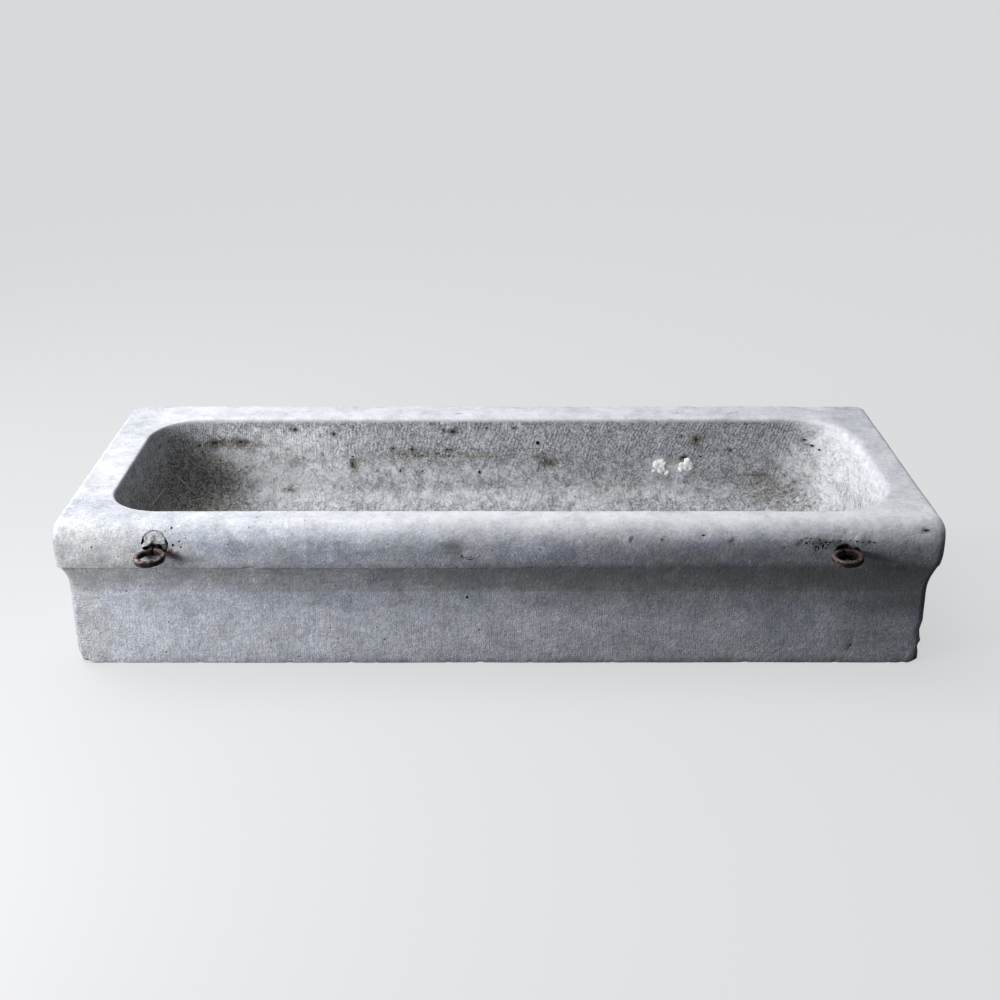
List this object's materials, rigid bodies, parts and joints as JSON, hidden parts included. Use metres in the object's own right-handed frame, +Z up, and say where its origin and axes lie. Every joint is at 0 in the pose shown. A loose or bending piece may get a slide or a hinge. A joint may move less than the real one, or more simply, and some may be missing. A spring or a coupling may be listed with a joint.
{
  "type": "stone trough planter",
  "caption": "Long low stone manger trough with a roll and cove moulding on the front and ends, and two forged iron eyes leaded into the roll.",
  "frame": {"origin": "centre of the base footprint at the lip of the mouldings, on the floor", "axes": "+X along the length, -Y out of the moulded front, +Z up"},
  "size_m": [1.55, 0.6702, 0.28],
  "materials": {
    "limestone": "worn, tooled blue-grey limestone",
    "wrought_iron": "dark brown rust",
    "lead": "dull grey, weathered"
  },
  "bodies": {
    "root": {"trough_block": "limestone", "left_tether_eye": "wrought_iron", "right_tether_eye": "wrought_iron", "left_lead_setting": "lead", "right_lead_setting": "lead"}
  },
  "joints": []
}
